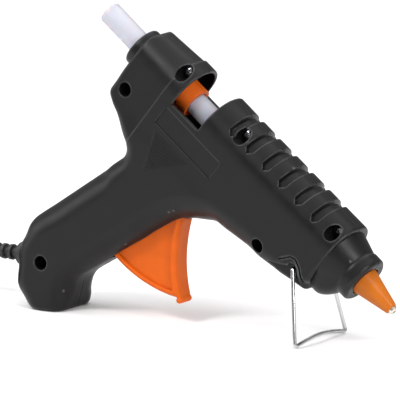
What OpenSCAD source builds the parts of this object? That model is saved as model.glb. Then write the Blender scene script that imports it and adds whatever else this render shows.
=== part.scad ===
/* [Barrel] */
// Nose-down tilt of the barrel axis when the gun stands on its butt and wire stand, in degrees
pitch = 38.5; // [36:0.5:40]
// Distance from the rear collar's rim to the tip of the nozzle
barrel_len = 183.2; // [182:0.2:185]
// Thickness of the two shells together, across the gun
body_w = 32; // [31.6:0.2:33]
// Wall thickness of the moulded shells
wall = 2.4; // [2:0.1:2.6]

/* [Glue stick] */
// Diameter of the glue stick
stick_d = 11.2; // [11:0.1:11.3]
// Length of the glue stick
stick_len = 100; // [95:1:110]
// Length of stick standing out behind the collar
stick_out = 24.5; // [15:0.5:30]

/* [Nozzle] */
// Diameter of the nose ring
ring_d = 25.2; // [25:0.1:26]
// Diameter of the silicone nozzle cover where it enters the nose ring
cover_d = 14.6; // [14:0.1:15]
// Diameter of the bore in the nozzle tip
tip_bore_d = 1.5; // [1:0.1:2]

/* [Trigger] */
// Radius of the trigger's lower arc about its pin
trigger_r = 67.4; // [66:0.1:68]
// Width of the trigger across the finger face
trigger_w = 12.4; // [11:0.1:12.6]

/* [Stand] */
// Diameter of the stand's wire
wire_d = 1.9; // [1.6:0.1:2]
// Spread of the stand's two feet
stand_spread = 47; // [44:1:48]

/* [Cord] */
// Diameter of the power cord
cord_d = 5.2; // [5:0.1:5.4]
// Length of the ribbed strain relief outside the shell
relief_len = 32; // [30:1:34]

/* [Hidden] */
$fn = 48;

// Barrel frame: s runs forward along the glue stick from the collar's rim, t runs up across it.
rim_x = -39.1;
rim_z = 132.8;
half_w = body_w / 2;
stick_r = stick_d / 2;
cord_r = cord_d / 2;
gap = 0.05;
function at(s, t) = [rim_x + s * cos(pitch) + t * sin(pitch), rim_z - s * sin(pitch) + t * cos(pitch)];
function along(p, y) = [p[0], y, p[1]];

// Pins of the moving parts, in the barrel frame
trigger_pin_at = [58, -22];
lever_pin_at = [36, -30];
grip_pin_at = [24.5, -9.6];
stand_pin_at = [134.4, -15.6];
pin_r = 1.5;
lever_arm = 20.6;
lever_rest = 15.5;

// Moulded body: depth of the edge rounding, and the layers that build it
edge_r = 11;
layers = 5;
// Height of the centre of the barrel's rounded top above the stick's axis
crown_t = 1.4;
// Window in the top of the barrel
win_s = [35.5, 54];
win_t = -1.2;
// Grooves across the barrel's top
groove_n = 6;
groove_s = 66.1;
groove_pitch = 11.8;
groove_w = 4.6;
groove_t = 14.4;
// Screws through the near shell into the far one: places in the barrel frame
screws = [[11, -15.5], [29.2, 12.6], [72.4, 12.2], [138.6, 12.3], [113, -21.2], [29.6, -115.8]];
screw_recess_r = 3.6;
screw_seat_y = -5.5;
screw_r = 1.4;
boss_r = 3;
recess_boss_r = 5;
// Nose ring
ring_s = [156.5, 162.4];
ring_hole_r = 8;
// Strain relief, at the back of the butt
relief_x = -104.4;
relief_z = 23.5;
rib_pitch = 4.4;
// Stand: foot and bends, in row coordinates from the pin
foot_x = 62.6;

// Cord: a tied hank of three layers lies in line with the gun behind it, and the plug lies past it
hank_front_x = -166;
hank_run = 43.3;
hank_back_x = hank_front_x - hank_run;
hank_in_r = 16.2;
hank_out_r = 24.45;
hank_top = 13.1;
tail_len = 54;
plug_at = [hank_back_x - tail_len, 8.5, 6.8];
plug_len = 35;
plug_w = 35;
plug_h = 13.6;
plug_pin_r = 2;
plug_shank_r = 1.5;
plug_pin_len = 19;
plug_pin_gap = 18.6;

// Pins, in row coordinates
trigger_xz = at(trigger_pin_at[0], trigger_pin_at[1]);
lever_xz = at(lever_pin_at[0], lever_pin_at[1]);
stand_xz = at(stand_pin_at[0], stand_pin_at[1]);
// Cord clamp: its middle on the cord, the cord's slope there, and its two posts
clamp_at = [-82.6, 35.4];
clamp_slope = 36.9;
clamp_posts = [for (side = [-1, 1]) clamp_at + side * 6.2 * [-sin(clamp_slope), cos(clamp_slope)]];

// ---- helpers ----
module barrel_frame() {
    translate([rim_x, 0, rim_z]) rotate([0, pitch, 0]) children();
}

// Turns a profile of [distance along s, radius] about the barrel axis
module turned(profile) {
    barrel_frame() rotate([0, 90, 0]) rotate_extrude($fn = 64) polygon([for (p = profile) [p[1], p[0]]]);
}

// Cylinder across the gun, centred on y
module cross(p, r, y0, y1) {
    translate([p[0], y1, p[1]]) rotate([90, 0, 0]) cylinder(r = r, h = y1 - y0);
}

// Extrudes an outline drawn in x and z across the gun, from y0 to y1
module slab(y0, y1) {
    translate([0, y1, 0]) rotate([90, 0, 0]) linear_extrude(y1 - y0) children();
}

// Polygon whose corners, each [point, radius], are rounded by arcs
function unit(v) = v / norm(v);
function corner(a, b, c, r) =
    let (u = unit(a - b), w = unit(c - b), half = acos(u * w) / 2, m = unit(u + w), d = r / sin(half),
        o = b + m * d, start = b + u * r / tan(half), a0 = atan2(start[1] - o[1], start[0] - o[0]),
        turn = (180 - 2 * half) * sign(u[1] * w[0] - u[0] * w[1]), n = max(2, ceil(abs(turn) / 9)))
    [for (k = [0 : n]) o + r * [cos(a0 + turn * k / n), sin(a0 + turn * k / n)]];
function rounded(pts) =
    [for (i = [0 : len(pts) - 1]) each corner(pts[(i + len(pts) - 1) % len(pts)][0], pts[i][0],
        pts[(i + 1) % len(pts)][0], pts[i][1])];

// Tube swept along points, with flat ends. The route never runs along the across vector.
module tube(route, r, sides = 8, across = [0, 0, 1]) {
    n = len(route);
    ring = [for (i = [0 : n - 1])
        let (d = unit(route[min(i + 1, n - 1)] - route[max(i - 1, 0)]),
            a = unit(cross3(across, d)), b = cross3(d, a))
        for (k = [0 : sides - 1]) route[i] + r * (cos(360 * k / sides) * a + sin(360 * k / sides) * b)];
    skin = [for (i = [0 : n - 2], k = [0 : sides - 1])
        [i * sides + k, i * sides + (k + 1) % sides, (i + 1) * sides + (k + 1) % sides,
            (i + 1) * sides + k]];
    ends = [[for (k = [sides - 1 : -1 : 0]) k], [for (k = [0 : sides - 1]) (n - 1) * sides + k]];
    polyhedron(points = ring, faces = [for (f = concat(skin, ends)) [for (j = [len(f) - 1 : -1 : 0]) f[j]]],
        convexity = 6);
}
function cross3(a, b) = [a[1] * b[2] - a[2] * b[1], a[2] * b[0] - a[0] * b[2], a[0] * b[1] - a[1] * b[0]];

// Smooth curve through hand-placed points, n steps between each pair
function smooth(p, n) = [for (i = [0 : len(p) - 2], k = [0 : n - 1]) spline(p, i, k / n)];
function spline(p, i, u) =
    let (a = p[max(i - 1, 0)], b = p[i], c = p[i + 1], d = p[min(i + 2, len(p) - 1)])
    0.5 * (2 * b + u * (c - a) + u * u * (2 * a - 5 * b + 4 * c - d) + u * u * u * (3 * b - a - 3 * c + d));
function path(p, n) = concat(smooth(p, n), [p[len(p) - 1]]);

// Side outline of the two shells, without the collar, nose and ring
outline = rounded([
    [at(3.8, 14.6), 4], [at(27.5, 16.9), 1], [at(29, 17.8), 1], [at(146, 18), 2], [at(146, -21.6), 3],
    [at(128, -26), 20], [at(100, -31.4), 30], [[7.4, 52.4], 14], [[-11.7, 52.4], 25], [[-73, 16.6], 12],
    [[-79.6, -9], 3], [[-91, -9], 3], [[-105, 10], 9], [[-105, 28], 20], [[-99.4, 42.8], 14],
    [[-40.3, 82.6], 9], [at(3.8, -23.4), 4.5]]);

// ---- the two half shells ----
module moulded_block() {
    step = 90 / layers;
    for (k = [0 : layers - 1]) {
        y = half_w - edge_r + edge_r * sin(step * (k + 1));
        slab(-y, y) offset(delta = -edge_r * (1 - cos(step * (k + 0.5)))) polygon(outline);
    }
}

// Everything above the barrel's rounded top
module above_crown() {
    barrel_frame() translate([0, 0, crown_t]) difference() {
        translate([-3, -30, 0]) cube([150, 60, 40]);
        rotate([0, 90, 0]) rotate_extrude($fn = 64)
            polygon([[0, -4], [13.7, -4], [13.7, 4], [15.6, 27.5], [16.3, 29], [16.3, 80], [17, 148], [0, 148]]);
    }
}

module solid_body() {
    difference() {
        moulded_block();
        above_crown();
        translate([-150, -50, -40]) cube([120, 100, 40]);
    }
    turned([[-1, 0], [-1, 9.3], [0, 10.3], [9, 10.3], [9, 0]]);
    // nose, with a lobe under the bore
    hull() {
        barrel_frame() translate([145, 0, 0]) rotate([0, 90, 0]) cylinder(r = half_w - 0.5, h = 1, $fn = 32);
        barrel_frame() translate([145.5, 0, -11.4]) rotate([0, 90, 0]) cylinder(r = 10.7, h = 2, $fn = 32);
        barrel_frame() translate([156.9, 0, 0]) rotate([0, 90, 0]) cylinder(r = 11.9, h = 0.8, $fn = 32);
    }
    turned([[156, 0], [156, ring_d / 2], [161, ring_d / 2], [162.4, ring_d / 2 - 1.4], [162.4, 0]]);
}

module hollow() {
    intersection() {
        union() {
            slab(-9, 9) offset(delta = -wall - 1.6) polygon(outline);
            slab(-13.2, 13.2) offset(delta = -wall - 5.6) polygon(outline);
        }
        barrel_frame() translate([-50, -20, -200]) cube([300, 40, 206]);
        translate([-150, -50, wall]) cube([400, 100, 300]);
    }
    // tunnel behind the window, bore of the collar, and the nose's bore
    turned([[10, 0], [10, 8.8], [24, 12.6], [60, 12.6], [60, 0]]);
    turned([[-2, 0], [-2, 7.4], [-1, 6.4], [30, 6.4], [30, 0]]);
    turned([[58, 0], [58, 12.4], [147.8, 12.4], [152.6, 10.2], [160, 10.2], [160, 0]]);
    turned([[150, 0], [150, ring_hole_r], [164, ring_hole_r], [164, 0]]);
}

module openings() {
    // window in the top
    barrel_frame() translate([win_s[0], -20, win_t]) cube([win_s[1] - win_s[0], 40, 30]);
    barrel_frame() translate([win_s[0], -12.6, -8]) cube([win_s[1] - win_s[0], 25.2, 20]);
    // grooves
    for (i = [0 : groove_n - 1])
        barrel_frame() translate([groove_s + i * groove_pitch, -20, groove_t]) cube([groove_w, 40, 12]);
    // recessed panel on each side
    for (side = [-1, 1])
        barrel_frame() translate([34.5, side * half_w - 0.5, -14.6]) cube([38.5, 1, 10]);
    // slot that the trigger moves in
    slab(-trigger_w / 2 - 0.4, trigger_w / 2 + 0.4) intersection() {
        polygon([[-80, 0], [-12.2, 0], [-11.4, 54], [-9, 66], [-50, 66]]);
        translate(trigger_xz) circle(r = trigger_r + 0.6, $fn = 128);
    }
    // hole for the strain relief, and a seat for the flange inside it
    translate([relief_x - 4, 0, relief_z]) rotate([0, 90, 0]) cylinder(r = 4.4, h = 16);
    translate([relief_x + 3.55, 0, relief_z]) rotate([0, 90, 0]) cylinder(r = 6.3, h = 6);
    // holes for the stand's ends, and the pockets that its legs swing in
    cross(stand_xz, wire_d / 2 + 0.08, -20, 20);
    for (side = [-1, 1]) stand_sector(side * 15.6, 4, 1.5, 26);
}

// Sector below and behind the stand's pin, from its front stop back, centred on y
module stand_sector(y, depth, grow, reach) {
    barrel_frame() translate([stand_pin_at[0], y + depth / 2, stand_pin_at[1]]) rotate([90, 0, 0])
        linear_extrude(depth) {
            circle(r = grow + 1);
            polygon([[0.67, 0.75] * grow, [0.67, 0.75] * grow + [0.75, -0.67] * reach, [-0.8, -0.9] * reach,
                [-0.8, -0.5] * reach, [-0.6, 0.8] * grow]);
        }
}

module bosses() {
    for (p = screws) {
        cross(at(p[0], p[1]), boss_r, -half_w + 2.6, half_w - 2.6);
        cross(at(p[0], p[1]), recess_boss_r, -half_w, screw_seat_y + 1.3);
    }
    // bosses that carry the two pins, outside the moving parts, and pads behind the stand's pockets
    for (side = [-1, 1]) {
        cross(trigger_xz, 3.6, side * 11.2 - 2.4, side * 11.2 + 2.4);
        cross(lever_xz, 3.6, side * 11.2 - 2.4, side * 11.2 + 2.4);
        stand_sector(side * 13.2, 4.6, 3.4, 12);
    }
    // posts in the near shell for the cord clamp's screws
    for (p = clamp_posts) cross(p, 3, -half_w + 2.6, 0);
}

module fastening() {
    for (p = screws) {
        cross(at(p[0], p[1]), screw_recess_r, -20, screw_seat_y);
        cross(at(p[0], p[1]), screw_r + gap, screw_seat_y - 1, 9);
    }
    cross(trigger_xz, pin_r + 0.02, -12, 12);
    cross(lever_xz, pin_r + 0.02, -12, 12);
    for (p = clamp_posts) cross(p, 1.25, -9, 1);
}

module shell() {
    difference() {
        union() {
            difference() {
                solid_body();
                hollow();
            }
            intersection() {
                bosses();
                solid_body();
            }
        }
        openings();
        fastening();
    }
}

module half_space(side) {
    translate([-200, side < 0 ? -60 : 0, -50]) cube([400, 60, 300]);
}

module left_shell() {
    color([0.14, 0.14, 0.15]) intersection() {
        shell();
        half_space(-1);
    }
}

module right_shell() {
    color([0.14, 0.14, 0.15]) intersection() {
        shell();
        half_space(1);
    }
}

module housing_screws() {
    color("silver") for (p = screws) difference() {
        union() {
            cross(at(p[0], p[1]), 2.7, screw_seat_y - 2.1, screw_seat_y - gap);
            cross(at(p[0], p[1]), screw_r, screw_seat_y - 1, 7.5);
        }
        translate(along(at(p[0], p[1]), screw_seat_y - 1.7)) rotate([0, pitch, 0])
            cube([3.4, 1.6, 0.7], center = true);
        translate(along(at(p[0], p[1]), screw_seat_y - 1.7)) rotate([0, pitch, 0])
            cube([0.7, 1.6, 3.4], center = true);
    }
}

// ---- nozzle, valve and heated chamber ----
module nozzle_cover() {
    color([0.92, 0.42, 0.14]) turned([[154.2, 5.2], [154.2, 7.5], [160, cover_d / 2 + 0.1],
        [162.4, cover_d / 2], [180.8, 3.2], [181.5, 2.6], [181.5, 2.35], [158, 4.75]]);
}

module nozzle_tip() {
    color([0.8, 0.68, 0.42]) turned([[139, 1.2], [139, 2.9], [148.1, 2.9], [148.1, 5.8], [153.6, 5.8],
        [153.6, 4.9], [158, 4.65], [181, 2.3], [182.6, 2.1], [barrel_len, 1.5], [barrel_len, tip_bore_d / 2],
        [167, tip_bore_d / 2], [166, 2.1], [152, 2.1], [151.4, 1.2]]);
}

module check_ball() {
    color("silver") translate(along(at(153.5, 0), 0)) sphere(r = 1.6, $fn = 32);
}

module valve_spring() {
    turns = 5;
    color("silver") barrel_frame() tube([for (k = [0 : 12 * turns])
        [156.4 + 9.2 * k / (12 * turns), 1.55 * cos(30 * k), 1.55 * sin(30 * k)]], 0.25, 5, [1, 0, 0]);
}

module melt_chamber() {
    color([0.72, 0.73, 0.75]) difference() {
        union() {
            turned([[64, 0], [64, 8], [139, 8], [140, 6.6], [148, 6.6], [148, 0]]);
            barrel_frame() translate([84, -7.5, -13.6]) cube([44, 15, 10]);
        }
        turned([[63, 0], [63, 6.4], [66, 5.95], [118, 5.95], [132, 3], [149, 3], [149, 0]]);
        barrel_frame() translate([83, -5.6, -12.4]) cube([46, 11.2, 3.2]);
    }
}

module heater_core() {
    color([0.35, 0.33, 0.32]) barrel_frame() translate([92, -4.6, -11.6]) cube([26, 9.2, 1.6]);
}

module heater_electrodes() {
    color([0.8, 0.68, 0.42]) for (t = [-12.2, -9.9])
        barrel_frame() translate([81, -3.6, t]) cube([40, 7.2, 0.5]);
}

module heater_clip() {
    color("silver") barrel_frame() difference() {
        translate([100, -9.2, -15]) cube([12, 18.4, 15]);
        translate([99, -8.3, -13.8]) cube([14, 16.6, 15]);
    }
}

module front_support() {
    color([0.55, 0.5, 0.42]) difference() {
        turned([[144.2, 6.65], [144.2, 12.3], [147.6, 12.3], [147.6, 6.65]]);
        barrel_frame() translate([143, -3, -14]) cube([8, 6, 6]);
    }
}

module rear_support() {
    color([0.55, 0.5, 0.42]) difference() {
        turned([[79.4, 8.05], [79.4, 12.3], [83, 12.3], [83, 8.05]]);
        barrel_frame() translate([78, -8.2, -14]) cube([8, 16.4, 8]);
    }
}

module inlet_sleeve() {
    color([0.75, 0.2, 0.14]) turned([[55.5, 5.95], [55.5, 7.6], [58, 8.8], [64, 8.8], [64.1, 9.2],
        [67.8, 9.2], [67.8, 8.05], [63.9, 8.05], [63.9, 6.4], [59, 5.95]]);
}

module sleeve_clamp() {
    color("silver") turned([[65, 9.25], [65, 9.8], [67, 9.8], [67, 9.25]]);
}

// ---- feed: trigger, lever, carriage and stick ----
// Finger face, lower arc and hidden rear edge of the trigger
module trigger_outline(inset) {
    intersection() {
        translate(trigger_xz) circle(r = trigger_r - inset, $fn = 128);
        polygon([trigger_xz + [-4.4, 4], trigger_xz + [-5, -10], [-13.4 - inset, 52], [-14.4 - inset, 44],
            [-15.9 - inset, 36], [-16.4 - inset, 29], [-15.9 - inset, 22], [-14.6 - inset, 14],
            [-13.2 - inset, 8], [-80, -10], trigger_xz + [-52, -47.7] + [inset, -inset],
            trigger_xz + [-6, 2]]);
    }
}

module trigger() {
    color([0.92, 0.42, 0.14]) difference() {
        union() {
            difference() {
                slab(-trigger_w / 2, trigger_w / 2) {
                    trigger_outline(0);
                    polygon([[-14.6, 14], [-13.4, 9.6], [-16.6, 9.1], [-18.6, 11.4], [-18, 14]]);
                }
                for (side = [-1, 1])
                    slab(side * trigger_w / 2 - 1.6, side * trigger_w / 2 + 1.6) difference() {
                        trigger_outline(2.4);
                        translate(trigger_xz) circle(r = 22);
                    }
            }
            cross(trigger_xz, 5.4, -trigger_w / 2, trigger_w / 2);
        }
        cross(trigger_xz, pin_r + 0.06, -10, 10);
    }
}

module trigger_pin() {
    color("silver") cross(trigger_xz, pin_r, -11.8, 11.8);
}

module return_spring() {
    turns = 4;
    coil = [for (k = [0 : 14 * turns]) [2.9 * cos(360 * k / 14), 6.9 + 1.4 * k / (14 * turns) * 1.1,
        2.9 * sin(360 * k / 14)]];
    first = [[12, 6.9, -5.6], [7, 6.9, -3.2]];
    last = [[3.6, 8.45, 3], [6, 8.45, 7]];
    color("silver") translate(along(trigger_xz, 0)) tube(concat(first, coil, last), 0.18, 6, [0, 1, 0]);
}

// Rocker that the trigger pushes back at its foot, and whose head drives the carriage forward
module feed_lever() {
    head = lever_pin_at + lever_arm * [-sin(lever_rest), cos(lever_rest)];
    foot = lever_xz + [1, -19];
    color([0.2, 0.2, 0.22]) difference() {
        union() {
            cross(lever_xz, 4, -3, 3);
            cross(foot, 1.8, -3, 3);
            cross(at(head[0], head[1]), 1.8, -3, 3);
            lever_bar(-90 + atan(1 / 19), 19, 2.4);
            lever_bar(90 + lever_rest - pitch, lever_arm, 1.4);
        }
        cross(lever_xz, pin_r + 0.06, -10, 10);
    }
}

// Flat bar from the lever's pin, at an angle up from +X in row coordinates
module lever_bar(angle, reach, half) {
    translate(along(lever_xz, 0)) rotate([0, -angle, 0]) translate([0, -3, -half]) cube([reach, 6, 2 * half]);
}

module feed_lever_pin() {
    color("silver") cross(lever_xz, pin_r, -11.8, 11.8);
}

module carriage() {
    color([0.92, 0.42, 0.14]) difference() {
        union() {
            turned([[19.5, 6.1], [19.5, 8], [39.6, 8], [39.6, 6.1]]);
            barrel_frame() translate([19.5, -5, -11.2]) cube([17.2, 10, 5]);
        }
        turned([[18, 0], [18, 6.1], [41, 6.1], [41, 0]]);
        // fork that the lever's head works in
        barrel_frame() translate([28.35, -3.4, -14]) cube([4.3, 6.8, 7.2]);
        // pocket and pin hole of the grip lever
        barrel_frame() translate([21, -2.4, -14]) cube([7.4, 4.8, 9]);
        cross(at(grip_pin_at[0], grip_pin_at[1]), 0.77, -6, 6);
    }
}

module grip_pin() {
    color("silver") cross(at(grip_pin_at[0], grip_pin_at[1]), 0.75, -4.9, 4.9);
}

module grip_lever() {
    color("silver") barrel_frame() difference() {
        translate([0, 2, 0]) rotate([90, 0, 0]) linear_extrude(4) polygon([[22, -11.6], [26.6, -11.6],
            [27.6, -8], [27.4, -6.3], [26.2, -6.9], [25, -6.3], [23.8, -6.9], [22, -7.4]]);
        translate([grip_pin_at[0], 3, grip_pin_at[1]]) rotate([90, 0, 0]) cylinder(r = 0.8, h = 6);
    }
}

module glue_stick() {
    color([0.86, 0.88, 0.93]) turned([[-stick_out, 0], [-stick_out, stick_r - 0.4],
        [-stick_out + 0.4, stick_r], [stick_len - stick_out - 0.4, stick_r],
        [stick_len - stick_out, stick_r - 0.4], [stick_len - stick_out, 0]]);
}

// ---- wire stand ----
module wire_stand() {
    r = wire_d / 2;
    foot = [foot_x, stand_spread / 2 - r, r];
    down = unit(foot - [stand_xz[0], 15, stand_xz[1]]);
    half = [[stand_xz[0], 11.4, stand_xz[1]], [stand_xz[0], 14, stand_xz[1]],
        [stand_xz[0] + 0.1, 14.8, stand_xz[1] - 0.3], [stand_xz[0], 15.1, stand_xz[1]] + 1.3 * down,
        foot - 2.2 * down, foot + [0, -0.4, 0.5], foot + [0, -1.7, 0.1]];
    bow = [for (k = [1 : 7]) let (u = 1 - k / 8) [foot_x, (foot[1] - 1.6) * u, r + 0.1 + 2.2 * sin(90 * (1 - u))]];
    right = concat(half, bow);
    left = [for (i = [len(right) - 1 : -1 : 0]) [right[i][0], -right[i][1], right[i][2]]];
    color("silver") tube(concat(right, [[foot_x, 0, r + 2.3]], left), r, 10, [1, 0, 0]);
}

// ---- leads, clamp, strain relief ----
wire_route = [[-78.3, 38.8], [-74, 42], [-66, 48], [-56, 56], [-44, 65], [-32, 74], [-20, 82.5], [-4, 90],
    [8, 84], [14.6, 72.6]];

module lead_wires() {
    color([0.75, 0.75, 0.72]) for (side = [-1, 1])
        tube(path([for (i = [0 : len(wire_route) - 1])
            [wire_route[i][0], side * (i == 0 ? 1.5 : i == 1 ? 6 : 8.2), wire_route[i][1]]], 3), 0.9, 8, [0, 1, 0]);
}

module wire_splices() {
    color([0.7, 0.62, 0.4]) for (side = [-1, 1]) {
        p = at(79.6, -14.6);
        translate([p[0], side * 5.9, p[1]]) rotate([0, pitch, 0]) difference() {
            translate([-2.5, -2.4, -1.6]) cube([5, 4.8, 3.2]);
            translate([-3, -1, -0.6]) cube([6, 2, 1.2]);
        }
    }
}

// The cord inside the butt bends over the lowest screw's boss on its way to the clamp
inner_route = [[-104, 0, relief_z], [-101, 0, relief_z], [-99.4, 0, relief_z], [-96.2, 0, 24.7],
    [-92.8, 0, 27.8], [-89.4, 0, 30.5], [-86, 0, 32.9], [-82.6, 0, 35.4], [-78.6, 0, 38.4]];

module cord_end() {
    color([0.05, 0.05, 0.05]) tube(concat([[relief_x - relief_len, 0, relief_z]], path(inner_route, 2)), cord_r, 10,
        [0, 1, 0]);
}

module cord_clamp() {
    color([0.2, 0.2, 0.22]) difference() {
        translate(along(clamp_at, 0.2)) rotate([0, -clamp_slope, 0]) translate([-2.5, 0, -8.6])
            cube([5, 4, 17.2]);
        translate(along(clamp_at, 0)) rotate([0, 90 - clamp_slope, 0]) cylinder(r = cord_r + 0.1, h = 10, center = true);
        for (p = clamp_posts) cross(p, 1.3, -1, 6);
    }
}

module clamp_screws() {
    color("silver") for (p = clamp_posts) {
        cross(p, 1.2, -8, 4.3);
        cross(p, 2.2, 4.25, 5.6);
    }
}

module strain_relief() {
    ribs = floor((relief_len - 6) / rib_pitch);
    color([0.05, 0.05, 0.05]) translate([relief_x, 0, relief_z]) rotate([0, -90, 0])
        rotate_extrude($fn = 48) difference() {
            union() {
                polygon([[0, -4.6], [6, -4.6], [6, -3.6], [4.3, -3.6], [4.3, 0.6], [6.1, 0.6], [6, 1.8], [4.6, 3.2],
                    [3.3, 3.6], [3.1, relief_len], [0, relief_len]]);
                for (i = [0 : ribs - 1])
                    translate([0, 4.4 + i * rib_pitch]) polygon([[0, 0], [3.8 - 0.05 * i, 0.3],
                        [3.8 - 0.05 * i, 2.2], [0, 2.5]]);
            }
            translate([-1, -7]) square([1 + cord_r + gap, relief_len + 8]);
        }
}

// ---- cord, hank, tie and plug ----
function ease(u) = u <= 0 ? 0 : u * u * (3 - 2 * u);

// From the strain relief down to the inner run of the hank's top layer
module power_cord() {
    start = -144;
    route = [for (k = [0 : 10]) let (u = k / 10) [start + (hank_back_x - start) * u, hank_in_r * ease(u),
        relief_z - (relief_z - hank_top) * ease(u)]];
    color([0.05, 0.05, 0.05]) tube(concat([[relief_x - relief_len, 0, relief_z], [-140, 0, relief_z]], route), cord_r, 8);
}

// From the outer run of the bottom layer to the plug
module cord_tail() {
    route = [for (k = [0 : 10]) let (u = k / 10) [hank_back_x - (tail_len - 4) * u,
        hank_out_r - (hank_out_r - plug_at[1]) * ease(u), cord_r + (plug_at[2] - cord_r) * ease((u - 0.35) / 0.65)]];
    color([0.05, 0.05, 0.05]) tube(concat(route, [plug_at + [2, 0, 0], plug_at]), cord_r, 8);
}

module racetrack(r) {
    hull() for (x = [hank_back_x, hank_front_x]) translate([x, 0]) circle(r = r, $fn = 64);
}

module cord_coil() {
    color([0.05, 0.05, 0.05]) linear_extrude(hank_top + cord_r) difference() {
        racetrack(hank_out_r + cord_r);
        racetrack(hank_in_r - cord_r);
    }
}

// Strap round one side of the hank
module coil_tie() {
    w = hank_out_r - hank_in_r + cord_d;
    h = hank_top + cord_r;
    color([0.1, 0.1, 0.1]) translate([hank_front_x - hank_run / 2 - 2.5, -hank_out_r - cord_r, 0]) difference() {
        translate([0, -1, 0]) cube([5, w + 2, h + 0.9]);
        translate([-1, -0.2, 0.5]) cube([7, w + 0.4, h - 0.3]);
    }
}

module plug_frame() {
    translate(plug_at) children();
}

// A pair of rods along the plug, from one distance behind its cord end to another
module rods(r, from, to) {
    for (side = [-1, 1]) translate([-to, side * plug_pin_gap / 2, 0]) rotate([0, 90, 0])
        cylinder(r = r, h = to - from);
}

module plug_body() {
    side = [[0, 4.2], [-4, 5.4], [-14, 13.4], [-17, plug_w / 2 - 0.5], [1.5 - plug_len, plug_w / 2],
        [-plug_len, plug_w / 2 - 1.5]];
    color([0.05, 0.05, 0.05]) plug_frame() difference() {
        translate([0, 0, -plug_h / 2]) linear_extrude(plug_h)
            polygon(concat(side, [for (i = [len(side) - 1 : -1 : 0]) [side[i][0], -side[i][1]]]));
        rods(plug_shank_r, plug_len - 10, plug_len + 1);
    }
}

module plug_pins() {
    color("silver") plug_frame() {
        rods(plug_shank_r, plug_len - 10, plug_len);
        rods(plug_pin_r, plug_len, plug_len + plug_pin_len);
    }
}

left_shell();
right_shell();
housing_screws();
nozzle_cover();
nozzle_tip();
check_ball();
valve_spring();
melt_chamber();
heater_core();
heater_electrodes();
heater_clip();
front_support();
rear_support();
inlet_sleeve();
sleeve_clamp();
trigger();
trigger_pin();
return_spring();
feed_lever();
feed_lever_pin();
carriage();
grip_lever();
grip_pin();
glue_stick();
wire_stand();
lead_wires();
wire_splices();
cord_clamp();
clamp_screws();
cord_end();
strain_relief();
power_cord();
cord_coil();
cord_tail();
coil_tie();
plug_body();
plug_pins();
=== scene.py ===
import math
import bmesh
import bpy
import numpy as np
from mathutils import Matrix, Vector


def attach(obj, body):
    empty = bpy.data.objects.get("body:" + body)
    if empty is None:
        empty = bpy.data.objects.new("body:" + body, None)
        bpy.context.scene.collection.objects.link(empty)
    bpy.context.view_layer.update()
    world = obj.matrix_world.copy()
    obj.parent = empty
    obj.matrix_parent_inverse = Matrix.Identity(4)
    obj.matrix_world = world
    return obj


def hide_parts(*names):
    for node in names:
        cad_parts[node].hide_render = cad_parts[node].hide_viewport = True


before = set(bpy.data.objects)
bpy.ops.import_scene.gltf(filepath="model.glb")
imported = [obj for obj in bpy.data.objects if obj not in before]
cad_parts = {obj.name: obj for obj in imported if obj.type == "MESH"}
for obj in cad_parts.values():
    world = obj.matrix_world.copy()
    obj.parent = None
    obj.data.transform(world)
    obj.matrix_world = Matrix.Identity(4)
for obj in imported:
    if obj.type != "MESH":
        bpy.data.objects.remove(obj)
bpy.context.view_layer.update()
MM = 0.001

# ---------------------------------------------------------------- frame of the barrel
# Points are (s, y, t) in millimetres: s along the barrel from its rear rim, t up and square to it.
# Other lengths are in millimetres too, in the shared frame, unless a comment says otherwise.
PITCH = math.radians(38.5)
COS, SIN = math.cos(PITCH), math.sin(PITCH)
RIM_X, RIM_Z = -39.1, 132.8
HALF_W = 16.0
CROWN_T = 1.4


def row(s, t):
    """Shared-frame x and z of a point of the barrel frame."""
    return RIM_X + s * COS + t * SIN, RIM_Z - s * SIN + t * COS


def barrel_to_row(p):
    x, z = row(p[:, 0], p[:, 2])
    return np.stack([x, p[:, 1], z], 1) * MM


def at(s, t):
    """The same for one point, as plain numbers."""
    return tuple(float(v) for v in row(s, t))


TRIGGER_PIN = at(58, -22)
LEVER_PIN = at(36, -30)
STAND_ST = (134.4, -15.6)
STAND_PIN = at(*STAND_ST)
RELIEF_X, RELIEF_Z = -104.4, 23.5
# (s, t) of the six case screws
SCREWS = [(11, -15.5), (29.2, 12.6), (72.4, 12.2), (138.6, 12.3), (113, -21.2), (29.6, -115.8)]

# ---------------------------------------------------------------- camera and light
AZIMUTH, ELEVATION, DISTANCE = math.radians(33.1), math.radians(11.3), 5.0
VIEW_WIDTH = 0.1923
aim = Vector((-0.0061, 0, 0.0611))
toward = Vector((math.sin(AZIMUTH) * math.cos(ELEVATION), -math.cos(AZIMUTH) * math.cos(ELEVATION),
                 math.sin(ELEVATION)))
cam_data = bpy.data.cameras.new("camera")
cam_data.sensor_width = 36
cam_data.lens = cam_data.sensor_width * DISTANCE / VIEW_WIDTH
cam = bpy.data.objects.new("camera", cam_data)
bpy.context.scene.collection.objects.link(cam)
cam.location = aim + DISTANCE * toward
cam.rotation_euler = (-toward).to_track_quat("-Z", "Y").to_euler()
bpy.context.scene.camera = cam


def area_light(name, place, target, size, power):
    """A lamp at place, in metres, that faces target."""
    data = bpy.data.lights.new(name, "AREA")
    data.shape = "RECTANGLE"
    data.size, data.size_y = size
    data.energy = power
    lamp = bpy.data.objects.new(name, data)
    bpy.context.scene.collection.objects.link(lamp)
    lamp.location = place
    lamp.rotation_euler = (Vector(place) - Vector(target)).to_track_quat("Z", "Y").to_euler()


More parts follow.
